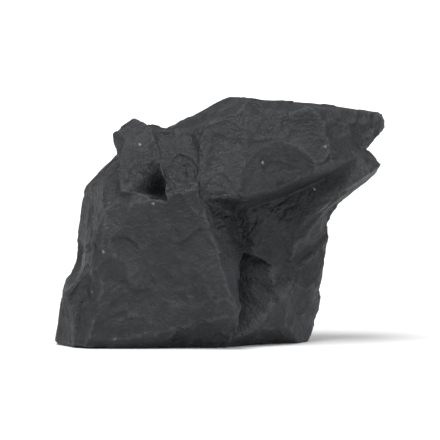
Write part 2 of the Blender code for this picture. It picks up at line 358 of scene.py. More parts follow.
@dataclass(frozen=True)
class Flaking:
    """Flakes lost where the rock stands out, which are balls that bite a little way into it.

    Chance sets how far apart they are, their radii and depths, and how far a place's turn is lowered.
    The rock is felt at a few places round each trial place, to find how far that place stands out.
    """

    count: int = 40
    spacing: Span = (3.0, 7.0)
    radii: Span = (5.0, 16.0)
    depths: Span = (0.20, 0.80)
    seed: int = 97
    trials: int = 1600
    feeling_angle: float = math.radians(8.0)
    feeling_count: int = 6
    turn_chance: Span = (0.4, 1.0)


@dataclass(frozen=True)
class Swelling:
    """Slow swells that keep the broken faces from being quite flat, each a sine wave one way."""

    height: float = 0.22
    wavelengths: Span = (7.0, 15.0)
    count: int = 14
    seed: int = 11


@dataclass
class RockShape:
    """The chip's main form, as one distance from its heart for every direction."""

    blocks: dict[str, list[Plane]] = field(default_factory=lambda: BLOCKS)
    pockets: dict[str, list[Plane]] = field(default_factory=lambda: POCKETS)
    scars: dict[str, Ball] = field(default_factory=lambda: SCARS)
    flaking: Flaking = Flaking()
    swelling: Swelling = Swelling()
    balls: list[Ball] = field(init=False)

    def __post_init__(self) -> None:
        """Finds the flakes once, as they are the same for every direction."""
        self.balls = list(self.scars.values()) + self.edge_flakes()

    def ways_through(self, planes: list[Plane], directions: np.ndarray) -> tuple[np.ndarray, np.ndarray]:
        """How far along each direction a block is entered and left, from the heart.

        A plane is met where the heart's distance to it, measured along its outward direction, is used
        up. Planes that are met from outside are ways in, and the last of them counts. Planes that are
        met from inside are ways out, and the first of them counts.

        Args:
            planes: The block's fracture planes.
            directions: Unit vectors, one in each row.

        Returns:
            Distances to the way in and to the way out.
        """
        points, outward = np.array(planes).transpose(1, 0, 2)
        ahead = along(points - HEART, outward)
        facing = directions @ outward.T
        ways_in = np.divide(ahead, facing, out=np.zeros_like(facing), where=facing < 0.0)
        ways_out = np.divide(ahead, facing, out=np.full_like(facing, np.inf), where=facing > 0.0)
        return ways_in.max(axis=1), ways_out.min(axis=1)

    def block_reach(self, directions: np.ndarray) -> np.ndarray:
        """How far the joined blocks reach: the way out of the block that reaches furthest."""
        return np.max([self.ways_through(planes, directions)[1] for planes in self.blocks.values()], axis=0)

    def edge_flakes(self) -> list[Ball]:
        """The balls of the flakes, set where the rock stands out most from what is round it.

        Returns:
            Each flake's ball.
        """
        flaking = self.flaking
        directions = spiral_of_directions(flaking.trials)
        sideways = unit(np.cross(directions, SLANT))
        upward = np.cross(directions, sideways)
        places = HEART + directions * self.block_reach(directions)[:, None]
        around = np.zeros_like(places)
        for turn in np.arange(flaking.feeling_count) * (2.0 * math.pi / flaking.feeling_count):
            lean = math.cos(turn) * sideways + math.sin(turn) * upward
            felt = unit(directions + math.tan(flaking.feeling_angle) * lean)
            around += HEART + felt * self.block_reach(felt)[:, None]
        standing_out = places - around / flaking.feeling_count
        sharpness = along(standing_out, directions)
        chance = np.random.default_rng(flaking.seed)
        order = np.argsort(-sharpness * chance.uniform(*flaking.turn_chance, flaking.trials))
        balls: list[Ball] = []
        taken = np.empty((0, 3))
        for index in order:
            if len(balls) == flaking.count:
                break
            apart = np.linalg.norm(taken - places[index], axis=1)
            if np.any(apart < chance.uniform(*flaking.spacing)):
                continue
            taken = np.vstack((taken, places[index]))
            radius = chance.uniform(*flaking.radii)
            depth = chance.uniform(*flaking.depths)
            balls.append((places[index] + unit(standing_out[index]) * (radius - depth), radius))
        return balls

    def swell(self, points: np.ndarray) -> np.ndarray:
        """How far the swells move each point out from the heart: sine waves, added up.

        Args:
            points: Points on the blocks, after what is taken off them.

        Returns:
            Distances in millimetres.
        """
        swelling = self.swelling
        chance = np.random.default_rng(swelling.seed)
        total = np.zeros(len(points))
        for heading in spiral_of_directions(swelling.count):
            wavelength = chance.uniform(*swelling.wavelengths)
            start = chance.uniform(0.0, 2.0 * math.pi)
            total += np.sin(2.0 * math.pi * (points @ heading) / wavelength + start)
        return total * swelling.height / math.sqrt(swelling.count)

    def radius(self, directions: np.ndarray) -> np.ndarray:
        """Distance from the heart to the surface: the blocks' reach, cut by pockets, balls and floor.

        Args:
            directions: Unit vectors, one in each row.

        Returns:
            Distances in millimetres.
        """
        radius = self.block_reach(directions)
        for planes in self.pockets.values():
            way_in, way_out = self.ways_through(planes, directions)
            lost = (way_in > 0.0) & (way_in < way_out) & (way_in < radius)
            radius = np.where(lost, way_in, radius)
        for centre, ball_radius in self.balls:
            offset = np.asarray(centre) - HEART
            ahead = directions @ offset
            reached = ahead**2 - (offset @ offset - ball_radius**2)
            way_in = ahead - np.sqrt(np.maximum(reached, 0.0))
            lost = (reached > 0.0) & (way_in > 0.0) & (way_in < radius)
            radius = np.where(lost, way_in, radius)
        radius = radius + self.swell(HEART + directions * radius[:, None])
        down = directions[:, 2]
        floor = np.divide(-HEART[2], down, out=np.full_like(down, np.inf), where=down < 0.0)
        return np.minimum(radius, floor)


class DirectionGrid:
    """Directions from the rock's heart, laid out as a grid of two parameters on each face of a cube."""

    def __init__(self, cells: int) -> None:
        """Numbers the grid's points, so that neighbouring faces of the cube share their border.

        Args:
            cells: Cells along each edge of the cube.
        """
        steps = 2 * np.arange(cells + 1) - cells
        rows, columns = steps[:, None, None], steps[None, :, None]
        sheets = [
            cells * np.array(out) + rows * np.array(across) + columns * np.array(up)
            for out, across, up in CUBE_FACES
        ]
        corners, labels = np.unique(np.reshape(sheets, (-1, 3)), axis=0, return_inverse=True)
        self.cells = cells
        self.labels = labels.reshape(len(CUBE_FACES), cells + 1, cells + 1)
        self.directions = unit(np.tan(corners / cells * (math.pi / 4.0)))
        strips = (
            np.stack((self.labels[:, :-1], self.labels[:, 1:]), axis=-1),
            np.stack((self.labels[:, :, :-1], self.labels[:, :, 1:]), axis=-1),
        )
        pairs = np.concatenate([strip.reshape(-1, 2) for strip in strips])
        self.edges = np.unique(np.sort(pairs, axis=1), axis=0)
        self.faces = np.stack(
            (
                self.labels[:, :-1, :-1],
                self.labels[:, 1:, :-1],
                self.labels[:, 1:, 1:],
                self.labels[:, :-1, 1:],
            ),
            axis=-1,
        ).reshape(-1, 4)

    def refined(self) -> "DirectionGrid":
        """A grid with twice the cells, its new directions halfway between the old ones.

        Returns:
            The finer grid.
        """
        old = self.directions[self.labels]
        new = np.empty((len(CUBE_FACES), 2 * self.cells + 1, 2 * self.cells + 1, 3))
        new[:, ::2, ::2] = old
        new[:, 1::2, ::2] = (old[:, 1:] + old[:, :-1]) / 2.0
        new[:, ::2, 1::2] = (old[:, :, 1:] + old[:, :, :-1]) / 2.0
        straight = old[:, 1:, 1:] + old[:, :-1, :-1]
        new[:, 1::2, 1::2] = (straight + old[:, 1:, :-1] + old[:, :-1, 1:]) / 4.0
        finer = DirectionGrid(2 * self.cells)
        finer.directions[finer.labels.ravel()] = new.reshape(-1, 3)
        finer.directions = unit(finer.directions)
        return finer

    def neighbour_mean(self, values: np.ndarray, weights: np.ndarray) -> np.ndarray:
        """Mean of the values at each point's neighbours, with a weight for each edge.

        Args:
            values: One row for each point.
            weights: One weight for each edge.

        Returns:
            One row of means for each point.
        """
        first, second = self.edges.T
        count = len(values)
        total = added_up(first, values[second] * weights[:, None], count)
        total += added_up(second, values[first] * weights[:, None], count)
        return total / self.edge_sums(weights)[:, None]

    def edge_sums(self, values: np.ndarray) -> np.ndarray:
        """At each point, the sum of the values of its edges."""
        return np.bincount(self.edges.ravel(), np.repeat(values, 2), len(self.directions))

    def edge_lengths(self, points: np.ndarray) -> np.ndarray:
        """Length of each of the grid's edges when its points stand at the given places."""
        return np.linalg.norm(points[self.edges[:, 0]] - points[self.edges[:, 1]], axis=1)


@dataclass
class RockSkin:
    """The stone's surface as points and faces, spread evenly over the rock and kept on it.

    There is a number of rounds for each fineness of the grid. A point further than the catch from the
    rock isn't put back on it.
    """

    shape: RockShape
    coarse_cells: int = 8
    rounds: tuple[int, ...] = (80, 60, 40, 20, 5)
    turn_share: float = 0.8
    slide_rounds: int = 6
    slide_share: float = 0.6
    catch: float = 0.30

    def build(self) -> tuple[DirectionGrid, np.ndarray]:
        """Lays a coarse grid of directions on the rock, then evens it out and refines it by turns.

        Each direction is turned towards the mean of its neighbours, where longer edges count for more,
        so points gather where the rock is long and steep.

        Returns:
            The grid, and the points of the surface in millimetres.
        """
        grid = DirectionGrid(self.coarse_cells)
        for level, rounds in enumerate(self.rounds):
            if level:
                grid = grid.refined()
            for _ in range(rounds):
                lengths = grid.edge_lengths(self.on_rock(grid.directions))
                mean = grid.neighbour_mean(grid.directions, lengths)
                grid.directions = unit(grid.directions + (mean - grid.directions) * self.turn_share)
        return grid, self.slid(grid, self.on_rock(grid.directions))

    def on_rock(self, directions: np.ndarray) -> np.ndarray:
        """The rock's surface points in the given directions."""
        return HEART + directions * self.shape.radius(directions)[:, None]

    def slid(self, grid: DirectionGrid, points: np.ndarray) -> np.ndarray:
        """Slides points onto steep walls, where the directions alone leave long gaps.

        Every point moves towards the mean of its neighbours. It is then put back on the rock where it
        is near it, and otherwise it stays on the wall that its neighbours span.

        Args:
            grid: The grid that joins the points.
            points: Points on the rock, in millimetres.

        Returns:
            The points after sliding.
        """
        for _ in range(self.slide_rounds):
            mean = grid.neighbour_mean(points, grid.edge_lengths(points))
            points = points + (mean - points) * self.slide_share
            directions = unit(points - HEART)
            exact = self.on_rock(directions)
            near = np.linalg.norm(points - exact, axis=1) < self.catch
            points = np.where(near[:, None], exact, points)
        return points


def mesh_normals(grid: DirectionGrid, points: np.ndarray) -> np.ndarray:
    """Outward unit normals: at each point, the cross products of its faces' diagonals, added up.

    Args:
        grid: The grid that joins the points.
        points: Points of the surface.

    Returns:
        Unit vectors, one for each point.
    """
    first, second, third, fourth = (points[grid.faces[:, corner]] for corner in range(4))
    crosses = np.cross(third - first, fourth - second)
    return unit(added_up(grid.faces.ravel(), np.repeat(crosses, 4, axis=0), len(points)))


@dataclass(frozen=True)
class Ripples:
    """Ripples of a shell-shaped break: waves that run out from where each scar was struck."""

    height: float = 0.035
    length: float = 0.95
    reach: float = 0.25
    strength: Span = (0.2, 1.0)
    waver: float = 0.8
    waver_size: float = 3.0
    waver_layers: int = 2
    rise: Span = (0.4, 2.0)
    fall: Span = (4.0, 11.0)
    least_points: int = 20
    seed: int = 31

    def offsets(self, points: np.ndarray, scars: list[Ball]) -> np.ndarray:
        """How far the ripples stand out: a sine wave of the distance from the struck place.

        Args:
            points: Points on the main form.
            scars: Balls of the scars.

        Returns:
            Offsets along the normals.
        """
        chance = np.random.default_rng(self.seed)
        total = np.zeros(len(points))
        for centre, radius in scars:
            struck = chance.uniform()
            strength = chance.uniform(*self.strength)
            off = np.abs(np.linalg.norm(points - np.asarray(centre), axis=1) - radius)
            within = np.flatnonzero(off < self.reach)
            if len(within) < self.least_points:
                continue
            start = points[within[int(struck * (len(within) - 1))]]
            away = np.linalg.norm(points[within] - start, axis=1)
            waver = layered_noise(points[within], self.waver_size, self.waver_layers, self.seed)
            wave = np.sin(2.0 * math.pi * (away / self.length + waver * self.waver))
            fade = smooth_step(away, *self.rise) * (1.0 - smooth_step(away, *self.fall))
            total[within] += strength * self.height * wave * fade
        return total


@dataclass(frozen=True)
class Steps:
    """Hackle: low steps that climb slowly and drop at once, in patches."""

    height: float = 0.08
    length: float = 1.7
    heading: Vec = (0.62, 0.20, -0.76)
    wave: float = 2.2
    wave_size: float = 5.0
    wave_seed: int = 41
    patch: Span = (0.0, 0.35)
    patch_size: float = 6.5
    patch_seed: int = 51
    layers: int = 2

    def offsets(self, points: np.ndarray) -> np.ndarray:
        """How far the steps stand out: within each step, the square of the way along it.

        A wavy coordinate that runs across the rock is taken in lengths of one step.

        Args:
            points: Points on the main form.

        Returns:
            Offsets along the normals.
        """
        wave = layered_noise(points, self.wave_size, self.layers, self.wave_seed) * self.wave
        place = (points @ unit(np.array(self.heading)) + wave) / self.length
        climb = (place - np.floor(place)) ** 2
        patches = layered_noise(points, self.patch_size, self.layers, self.patch_seed)
        return climb * smooth_step(patches, *self.patch) * self.height


@dataclass(frozen=True)
class Plates:
    """Hackle: small plates that the rock splits into as it breaks, in patches."""

    size: float
    height: float
    patch_size: float
    patch: Span
    seed: int
    patch_layers: int = 2

    def offsets(self, points: np.ndarray) -> np.ndarray:
        """How far the plates stand out: their tilted heights, faded between patches.

        Args:
            points: Points on the main form.

        Returns:
            Offsets along the normals.
        """
        patches = layered_noise(points, self.patch_size, self.patch_layers, self.seed)
        heights = tilted_plates(points, self.size, self.seed)
        return heights * smooth_step(patches, *self.patch) * self.height


@dataclass(frozen=True)
class SmallBreaks:
    """Small tongue-shaped breaks spread over the surface: how many, how wide and how deep.

    Each is the bite of a ball that leans by chance and is drawn out to a few times its width. Along
    the break, from -1 to 1, the feather says where its depth starts and where it is full. The other
    shares keep a bite near the place that was struck, and on the side of the rock that faces it.
    """

    count: int
    radii: Span
    depths: Span
    seed: int
    lean: float = 0.12
    lengths: Span = (1.3, 2.4)
    feather: Span = (-0.60, 0.20)
    on_edges: bool = False
    feeling_rounds: int = 6
    edge_liking: float = 1.5
    rim_wobble: float = 0.75
    rim_wobble_size: float = 1.1
    rim_wobble_layers: int = 2
    deepest_share: float = 0.5
    footprint_spare: float = 1.5
    facing_share: float = 0.4
    travel_spare: float = 1.5
    fresh_depth: float = 0.1

    def strike_shares(self, grid: DirectionGrid, points: np.ndarray) -> np.ndarray:
        """How likely a break is to be struck at each point.

        Breaks on edges are struck where a point stands out from its neighbourhood. The others fall
        evenly over the area, which is as the square of the spacing round a point.

        Args:
            grid: The grid that joins the points.
            points: Points to cut.

        Returns:
            Shares that add up to 1.
        """
        weight = grid.edge_sums(grid.edge_lengths(points)) ** 2
        if self.on_edges:
            mean = points
            for _ in range(self.feeling_rounds):
                mean = grid.neighbour_mean(mean, np.ones(len(grid.edges)))
            standing_out = along(points - mean, mesh_normals(grid, points))
            weight = np.clip(standing_out, 0.0, None) ** self.edge_liking
        return weight / weight.sum()

    def cut(
        self,
        grid: DirectionGrid,
        points: np.ndarray,
        fresh: np.ndarray,
        room: np.ndarray,
    ) -> tuple[np.ndarray, np.ndarray]:
        """Breaks small shells off: a point inside a ball moves in along its normal to the ball's skin.

        Each ball is drawn out along the surface, its radius wavers from place to place, and its bite
        runs out to nothing at one end. So each break is a ragged tongue, as on a split rock.

        Args:
            grid: The grid that joins the points.
            points: Points to cut.
            fresh: How fresh the break is at each point so far.
            room: How freely each point may move.

        Returns:
            The points after the breaks, and how fresh they are.
        """
        chance = np.random.default_rng(self.seed)
        normals = mesh_normals(grid, points)
        wobble = layered_noise(points, self.rim_wobble_size, self.rim_wobble_layers, self.seed)
        wobble *= self.rim_wobble
        for place in chance.choice(len(points), self.count, p=self.strike_shares(grid, points)):
            radius = chance.uniform(*self.radii)
            depth = min(chance.uniform(*self.depths), self.deepest_share * radius)
            lean = unit(normals[place] + chance.normal(0.0, self.lean, 3))
            onward = unit(np.cross(normals[place], chance.normal(0.0, 1.0, 3)))
            length = chance.uniform(*self.lengths)
            footprint = math.sqrt(2.0 * radius * depth) * self.footprint_spare
            away = points - points[place]
            near = np.flatnonzero(along(away, away) < (footprint * length) ** 2)
            way = away[near] @ onward / length
            offset = away[near] - np.outer(way * (length - 1.0), onward) - lean * (radius - depth)
            outward_part = along(offset, normals[near])
            inside = (radius + depth * wobble[near]) ** 2 - along(offset, offset)
            travel = outward_part + np.sqrt(np.maximum(outward_part**2 + inside, 0.0))
            struck = (inside > 0.0) & (outward_part < -self.facing_share * radius)
            travel = np.where(struck, np.minimum(travel, depth * self.travel_spare), 0.0) * room[near]
            travel *= smooth_step(way / footprint, *self.feather)
            points[near] -= normals[near] * travel[:, None]
            fresh[near] = np.where(travel > self.fresh_depth * depth, chance.uniform(), fresh[near])
        return points, fresh


@dataclass(frozen=True)
class Crack:
    """A hairline crack: where a wavy plane meets the surface, within a ball round its middle."""

    middle: Vec
    facing: Vec
    reach: float
    width: float = 0.16
    depth: float = 0.14


@dataclass(frozen=True)
class Cracks:
    """The hairline cracks, and the waves that keep them from running straight.

    A crack is whole in the middle share of its reach, and fades from there to its ends.
    """

    cracks: tuple[Crack, ...] = (
        Crack(middle=(-8.0, -9.5, 9.0), facing=(0.80, 0.10, 0.55), reach=5.5),
        Crack(middle=(6.0, -8.5, 20.0), facing=(0.25, 0.10, 0.95), reach=6.0),
        Crack(middle=(-13.0, -6.0, 12.0), facing=(0.20, -0.50, 0.85), reach=4.0),
        Crack(middle=(10.0, 5.0, 19.0), facing=(0.55, 0.30, 0.75), reach=5.0),
        Crack(middle=(-6.0, 8.0, 12.0), facing=(0.70, 0.10, -0.70), reach=6.5),
    )
    wave: float = 0.9
    wave_size: float = 2.2
    wave_layers: int = 3
    wave_seed: int = 61
    whole_share: float = 0.5

    def depths(self, points: np.ndarray) -> np.ndarray:
        """Depth of the cracks: deepest on the wavy plane, and fading towards its ends.

        Args:
            points: Points to cut.

        Returns:
            Depths from 0.
        """
        wave = layered_noise(points, self.wave_size, self.wave_layers, self.wave_seed) * self.wave
        total = np.zeros(len(points))
        for crack in self.cracks:
            offset = points - np.array(crack.middle)
            away = np.abs(offset @ unit(np.array(crack.facing)) + wave)
            across = 1.0 - smooth_step(away, 0.0, crack.width)
            far = np.linalg.norm(offset, axis=1)
            fade = 1.0 - smooth_step(far, self.whole_share * crack.reach, crack.reach)
            total = np.maximum(total, across * fade * crack.depth)
        return total


@dataclass(frozen=True)
class Grain:
    """The coarser grain of the break, which is rough enough for the mesh to hold."""

    height: float = 0.050
    size: float = 0.9
    layers: int = 2
    seed: int = 31

    def offsets(self, points: np.ndarray) -> np.ndarray:
        """How far the grain stands out or in at each point."""
        return layered_noise(points, self.size, self.layers, self.seed) * self.height


@dataclass
class BreakRelief:
    """Everything finer than the main form, cut along the surface's normals, in millimetres.

    The open spacing and the open crease say where the points start to lose their freedom to move, and
    where they have none left.
    """

    ripples: Ripples = Ripples()
    steps: Steps = Steps()
    plates: tuple[Plates, ...] = (
        Plates(size=3.4, height=0.11, patch_size=9.0, patch=(-0.5, 0.2), seed=51),
        Plates(size=1.3, height=0.050, patch_size=5.0, patch=(-0.3, 0.35), seed=52),
    )
    breaks: tuple[SmallBreaks, ...] = (
        SmallBreaks(count=150, radii=(4.0, 14.0), depths=(0.04, 0.16), seed=5),
        SmallBreaks(count=220, radii=(1.2, 4.0), depths=(0.03, 0.09), seed=6),
        SmallBreaks(
            count=260,
            radii=(0.8, 3.6),
            depths=(0.05, 0.22),
            seed=7,
            feather=(-1.2, -0.4),
            on_edges=True,
        ),
        SmallBreaks(count=200, radii=(0.3, 0.7), depths=(0.04, 0.12), seed=8),
    )
    cracks: Cracks = Cracks()
    grain: Grain = Grain()
    open_spacing: Span = (0.35, 0.75)
    open_crease: Span = (0.02, 0.08)
    room_rounds: int = 2
    fold_limit: float = 0.25
    settle_rounds: int = 16
    settle_share: float = 0.6
    settle_spread: float = 4.0

    def cut(
        self,
        grid: DirectionGrid,
        points: np.ndarray,
        scars: list[Ball],
    ) -> tuple[np.ndarray, np.ndarray]:
        """Cuts all the fine relief into the surface, coarsest first.

        Args:
            grid: The grid that joins the points.
            points: Points on the main form.
            scars: Balls of the large scars and flakes, which ripples run over.

        Returns:
            The points with their relief, and how fresh the break is at each point.
        """
        room = self.room(grid, points)
        height = self.ripples.offsets(points, scars) + self.steps.offsets(points)
        for plates in self.plates:
            height += plates.offsets(points)
        points = points + mesh_normals(grid, points) * (height * room)[:, None]
        fresh = np.zeros(len(points))
        for breaks in self.breaks:
            points, fresh = breaks.cut(grid, points, fresh, room)
        height = self.grain.offsets(points) - self.cracks.depths(points)
        points = points + mesh_normals(grid, points) * (height * room)[:, None]
        return self.settled(grid, points), fresh

    def room(self, grid: DirectionGrid, points: np.ndarray) -> np.ndarray:
        """How freely each point may move: less in a crease, and less where the points lie far apart.

        Args:
            grid: The grid that joins the points.
            points: Points on the main form.

        Returns:
            Shares from 0 to 1.
        """
        even = np.ones(len(grid.edges))
        spacing = grid.edge_sums(grid.edge_lengths(points)) / grid.edge_sums(even)
        mean = grid.neighbour_mean(points, even)
        crease = along(mean - points, mesh_normals(grid, points))
        room = 1.0 - smooth_step(spacing, *self.open_spacing)
        room *= 1.0 - smooth_step(crease, *self.open_crease)
        for _ in range(self.room_rounds):
            room = np.minimum(room, grid.neighbour_mean(room[:, None], even)[:, 0])
        return room

    def settled(self, grid: DirectionGrid, points: np.ndarray) -> np.ndarray:
        """Smooths the few spots where cuts that met have folded the surface.

        A point is folded where one of its faces turns too far from the point's own normal. It moves
        towards the mean of its neighbours, and so do its neighbours, until no fold is left.

        Args:
            grid: The grid that joins the points.
            points: Points with their relief.

        Returns:
            The points after settling.
        """
        even = np.ones(len(grid.edges))
        for _ in range(self.settle_rounds):
            corners = points[grid.faces]
            turned = np.ones(len(points))
            normals = mesh_normals(grid, points)
            for corner in range(4):
                here = grid.faces[:, corner]
                onward = corners[:, (corner + 1) % 4] - corners[:, corner]
                back = corners[:, (corner - 1) % 4] - corners[:, corner]
                np.minimum.at(turned, here, along(unit(np.cross(onward, back)), normals[here]))
            folded = (turned < self.fold_limit).astype(float)
            if not folded.any():
                break
            near_fold = grid.neighbour_mean(folded[:, None], even)[:, 0]
            share = np.minimum(1.0, self.settle_spread * near_fold + folded)
            mean = grid.neighbour_mean(points, even)
            points = points + (mean - points) * (share * self.settle_share)[:, None]
        return points


class SkinLayer(Enum):
    """What is stored at each point of the stone for its finish, by attribute name."""

    HOLLOW = "hollow"
    WORN = "worn"
    FRESH = "fresh"


@dataclass(frozen=True)
class ShungiteFinish:
    """Raw shungite, broken and untreated.

    It is fine-grained black carbon rock. The eye gets a dull near-black with a faint grey sheen,
    slightly smoother fresh scars, edges bruised to a paler grey, and a few pale mineral specks.
    Its true grain is under 0.1 mm, which is finer than a pixel, so the grain is drawn at 0.3 mm.
    """

    name: str = "shungite_raw_broken"
    body: str = "#17191c"
    pale: str = "#27292c"
    bruise: str = "#404143"
    dust: str = "#2c2d2e"
    speck: str = "#77736b"
    ior: float = 1.5
    specular_level: float = 0.36
    roughness: Span = (0.50, 0.72)
    fresh_roughness: float = 0.38
    cloud_size: float = 6.0
    cloud_layers: float = 4.0
    mottle_size: float = 1.3
    mottle_layers: float = 3.0
    grain_size: float = 0.30
    grain_layers: float = 2.0
    speck_spacing: float = 1.6
    speck_size: float = 0.20
    speck_core: float = 0.7
    speck_waver: float = 0.35
    speck_chance: Span = (0.72, 0.78)
    layer_share: float = 0.6
    cloud_range: Span = (0.38, 0.66)
    spot_range: Span = (0.52, 0.75)
    spot_share: float = 0.35
    bruise_range: Span = (0.30, 0.65)
    bruise_share: Span = (0.075, 0.75)
    dust_share: float = 0.5
    roughness_range: Span = (0.3, 0.7)
    fresh_share: float = 0.6
    mottle_bump: float = 0.30
    grain_bump: float = 0.20


def linear(hex_colour: str) -> tuple[float, float, float, float]:
    """Turns an sRGB hex colour to linear light, with full alpha."""
    shares = [int(hex_colour[place : place + 2], 16) / 255.0 for place in (1, 3, 5)]
    return (*[s / 12.92 if s <= 0.04045 else ((s + 0.055) / 1.055) ** 2.4 for s in shares], 1.0)


def add_node(
    tree: bpy.types.NodeTree,
    kind: str,
    settings: dict[str, object] | None = None,
    inputs: dict[str | int, object] | None = None,
) -> bpy.types.Node:
    """Adds a node, with its settings, and its inputs set to values or linked to other nodes' outputs.

    Args:
        tree: Node tree to add to.
        kind: Blender's name of the node type.
        settings: Properties of the node.
        inputs: Values or output sockets, by the name or number of the input.

    Returns:
        The new node.
    """
    node = tree.nodes.new(kind)
    for name, value in (settings or {}).items():
        setattr(node, name, value)
    for name, value in (inputs or {}).items():
        if isinstance(value, bpy.types.NodeSocket):
            tree.links.new(value, node.inputs[name])
        else:
            node.inputs[name].default_value = value
    return node


def per_metre(size_mm: float) -> float:
    """The scale of a texture whose features are of the given size in millimetres."""
    return 1.0 / (size_mm * MM)


class ShungiteMaterial:
    """Builds the nodes of the stone's finish: where each shade lies, how dull it is, and its relief."""

    def __init__(self, finish: ShungiteFinish) -> None:
        """Starts the material with what its parts share: three noises and the stone's stored layers.

        Args:
            finish: Colours and sizes to use.
        """
        self.finish = finish
        self.material = bpy.data.materials.new(finish.name)
        self.material.use_nodes = True
        self.tree = self.material.node_tree
        self.tree.nodes.clear()
        self.place = add_node(self.tree, "ShaderNodeTexCoord").outputs["Object"]
        common = {"Vector": self.place, "Roughness": finish.layer_share}
        self.cloud, self.mottle, self.grain = (
            add_node(
                self.tree,
                "ShaderNodeTexNoise",
                inputs={**common, "Scale": per_metre(size), "Detail": detail},
            ).outputs["Fac"]
            for size, detail in (
                (finish.cloud_size, finish.cloud_layers),
                (finish.mottle_size, finish.mottle_layers),
                (finish.grain_size, finish.grain_layers),
            )
        )
        self.stored = {
            layer: add_node(
                self.tree,
                "ShaderNodeAttribute",
                {"attribute_name": layer.value},
            ).outputs["Fac"]
            for layer in SkinLayer
        }

    def clouds(self) -> bpy.types.NodeSocket:
        """The paler of the rock's two shades, which lie in slow clouds.

        Returns:
            The share of the paler shade.
        """
        low, high = self.finish.cloud_range
        inputs = {"Value": self.cloud, "From Min": low, "From Max": high}
        return add_node(self.tree, "ShaderNodeMapRange", inputs=inputs).outputs["Result"]

    def spots(self) -> bpy.types.NodeSocket:
        """Paler spots, where the rock is coarser.

        Returns:
            The share of spot.
        """
        low, high = self.finish.spot_range
        most = self.finish.spot_share
        inputs = {"Value": self.mottle, "From Min": low, "From Max": high, "To Max": most}
        return add_node(self.tree, "ShaderNodeMapRange", inputs=inputs).outputs["Result"]

    def bruises(self) -> bpy.types.NodeSocket:
        """Pale bruises on the edges that stand proud, where knocks have crushed the grains.

        Returns:
            The share of bruise.
        """
        low, high = self.finish.bruise_range
        least, most = self.finish.bruise_share
        inputs = {"Value": self.grain, "From Min": low, "From Max": high, "To Min": least, "To Max": most}
        patchy = add_node(self.tree, "ShaderNodeMapRange", inputs=inputs).outputs["Result"]
        inputs = {0: self.stored[SkinLayer.WORN], 1: patchy}
        return add_node(self.tree, "ShaderNodeMath", {"operation": "MULTIPLY"}, inputs).outputs[0]

    def dust(self) -> bpy.types.NodeSocket:
        """Fine carbon dust, which has settled in the hollows and greys them.

        Returns:
            The share of dust.
        """
        inputs = {0: self.stored[SkinLayer.HOLLOW], 1: self.finish.dust_share}
        return add_node(self.tree, "ShaderNodeMath", {"operation": "MULTIPLY"}, inputs).outputs[0]

    def specks(self) -> bpy.types.NodeSocket:
        """Sparse pale mineral specks: the middles of cells whose random number is high.

        Returns:
            The share of speck.
        """
        finish = self.finish
        inputs = {"Vector": self.place, "Scale": per_metre(finish.grain_size)}
        waver = add_node(self.tree, "ShaderNodeTexNoise", inputs=inputs).outputs["Color"]
        settings = {"operation": "MULTIPLY_ADD"}
        inputs = {0: waver, 1: (finish.speck_waver * MM,) * 3, 2: self.place}
        place = add_node(self.tree, "ShaderNodeVectorMath", settings, inputs).outputs[0]
        inputs = {"Vector": place, "Scale": per_metre(finish.speck_spacing)}
        cells = add_node(self.tree, "ShaderNodeTexVoronoi", inputs=inputs).outputs
        rim = finish.speck_size / finish.speck_spacing
        core = finish.speck_core * rim
        inputs = {
            "Value": cells["Distance"],
            "From Min": core,
            "From Max": rim,
            "To Min": 1.0,
            "To Max": 0.0,
        }
        inner = add_node(self.tree, "ShaderNodeMapRange", inputs=inputs).outputs["Result"]
        low, high = finish.speck_chance
        inputs = {"Value": cells["Color"], "From Min": low, "From Max": high}
        chosen = add_node(self.tree, "ShaderNodeMapRange", inputs=inputs).outputs["Result"]
        inputs = {0: inner, 1: chosen}
        return add_node(self.tree, "ShaderNodeMath", {"operation": "MULTIPLY"}, inputs).outputs[0]

    def colour(self) -> bpy.types.NodeSocket:
        """The rock's near-black, with each of the paler shades laid over it in turn.

        Returns:
            The colour.
        """
        finish = self.finish
        colour = linear(finish.body)
        for share, shade in (
            (self.clouds(), finish.pale),
            (self.spots(), finish.bruise),
            (self.bruises(), finish.bruise),
            (self.dust(), finish.dust),
            (self.specks(), finish.speck),
        ):
            # A Mix node takes its two colours at inputs 6 and 7, and gives the mixed one at output 2.
            inputs = {0: share, 6: colour, 7: linear(shade)}
            colour = add_node(self.tree, "ShaderNodeMix", {"data_type": "RGBA"}, inputs).outputs[2]
        return colour

    def roughness(self) -> bpy.types.NodeSocket:
        """How dull the rock is: uneven where it is weathered, and smoother on fresh breaks.

        Returns:
            The roughness.
        """
        finish = self.finish
        least, most = finish.roughness
        low, high = finish.roughness_range
        inputs = {"Value": self.mottle, "From Min": low, "From Max": high, "To Min": least, "To Max": most}
        dull = add_node(self.tree, "ShaderNodeMapRange", inputs=inputs).outputs["Result"]
        inputs = {0: self.stored[SkinLayer.FRESH], 1: finish.fresh_share}
        share = add_node(self.tree, "ShaderNodeMath", {"operation": "MULTIPLY"}, inputs).outputs[0]
        # A Mix node takes its two plain numbers at inputs 2 and 3.
        inputs = {0: share, 2: dull, 3: finish.fresh_roughness}
        return add_node(self.tree, "ShaderNodeMix", {"data_type": "FLOAT"}, inputs).outputs[0]

    def relief(self) -> bpy.types.NodeSocket:
        """The grains' own relief, too fine for the mesh: the mottle, with the grain on top of it.

        Returns:
            The normal.
        """
        inputs = {"Height": self.mottle, "Distance": self.finish.mottle_bump * MM, "Strength": 1.0}
        coarse = add_node(self.tree, "ShaderNodeBump", inputs=inputs).outputs["Normal"]
        inputs = {"Height": self.grain, "Distance": self.finish.grain_bump * MM, "Strength": 1.0}
        return add_node(self.tree, "ShaderNodeBump", inputs={**inputs, "Normal": coarse}).outputs["Normal"]

